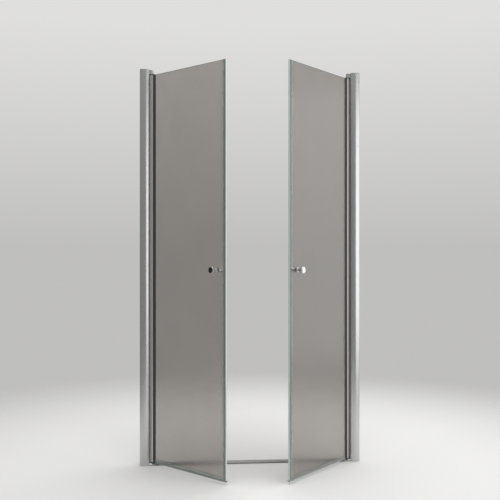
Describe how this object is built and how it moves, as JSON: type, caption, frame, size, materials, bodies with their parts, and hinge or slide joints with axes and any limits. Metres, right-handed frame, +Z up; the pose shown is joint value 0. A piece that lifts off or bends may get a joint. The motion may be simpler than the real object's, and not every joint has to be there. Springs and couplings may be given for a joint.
{
  "type": "double-leaf swing shower door",
  "caption": "Niche shower door: frosted glass leaves on pivot posts between wall jambs, meeting at magnetic seals, with round knobs.",
  "frame": {"origin": "middle of the threshold's underside, in the plane of the two pivot lines", "axes": "+Z up along the jambs, +Y from the room into the shower, +X to the right seen from the room"},
  "size_m": [1.01, 0.3493, 1.8],
  "materials": {
    "polished_aluminium": "bright polished and anodised, with fine drawn lines along its length",
    "mill_aluminium": "plain mill finish",
    "dark_aluminium": "satin grey anodised",
    "polished_zinc": "polished die-cast zinc, plated",
    "chrome": "mirror-bright chrome plating",
    "chrome_caps": "metallised plastic cap",
    "steel": "stainless steel, turned",
    "frosted_glass": "satin-etched safety glass, slightly green at its edges",
    "clear_seal": "clear soft PVC",
    "grey_seal": "grey translucent soft PVC",
    "clear_plastic": "clear plastic",
    "dark_rubber": "matt dark grey",
    "dark_plastic": "fine matt grain",
    "white_plastic": "plain acetal",
    "magnet_strip": "plastic-bonded ferrite",
    "foam_tape": "closed-cell foam tape"
  },
  "bodies": {
    "frame": {"left_wall_channel": "mill_aluminium", "right_wall_channel": "mill_aluminium", "left_jamb": "polished_aluminium", "right_jamb": "polished_aluminium", "left_jamb_cap": "polished_aluminium", "right_jamb_cap": "polished_aluminium", "left_jamb_seal": "dark_rubber", "right_jamb_seal": "dark_rubber", "left_top_pivot_block": "polished_zinc", "right_top_pivot_block": "polished_zinc", "left_bottom_pivot_block": "polished_zinc", "right_bottom_pivot_block": "polished_zinc", "left_pivot_pins": "steel", "right_pivot_pins": "steel", "left_thrust_washer": "white_plastic", "right_thrust_washer": "white_plastic", "left_jamb_screws": "steel", "right_jamb_screws": "steel", "left_screw_caps": "chrome_caps", "right_screw_caps": "chrome_caps", "threshold_rail": "dark_aluminium", "threshold_tape": "foam_tape"},
    "left_leaf": {"left_post": "polished_aluminium", "left_glazing_gasket": "dark_rubber", "left_glass": "frosted_glass", "left_top_bush": "dark_plastic", "left_bottom_bush": "dark_plastic", "left_edge_seal": "clear_seal", "left_edge_magnet": "magnet_strip", "left_bottom_seal": "grey_seal", "left_outer_knob": "chrome", "left_inner_knob": "chrome", "left_knob_stud": "steel", "left_knob_washers": "clear_plastic"},
    "right_leaf": {"right_post": "polished_aluminium", "right_glazing_gasket": "dark_rubber", "right_glass": "frosted_glass", "right_top_bush": "dark_plastic", "right_bottom_bush": "dark_plastic", "right_edge_seal": "clear_seal", "right_edge_magnet": "magnet_strip", "right_bottom_seal": "grey_seal", "right_outer_knob": "chrome", "right_inner_knob": "chrome", "right_knob_stud": "steel", "right_knob_washers": "clear_plastic"}
  },
  "joints": [
    {"name": "left_swing", "type": "hinge", "parent": "frame", "child": "left_leaf", "pos_m": [-0.4535, 0, 0], "axis": [0, 0, -1], "range_deg": [-133.5, 46.5]},
    {"name": "right_swing", "type": "hinge", "parent": "frame", "child": "right_leaf", "pos_m": [0.4535, 0, 0], "axis": [0, 0, 1], "range_deg": [-135.5, 44.5]}
  ]
}
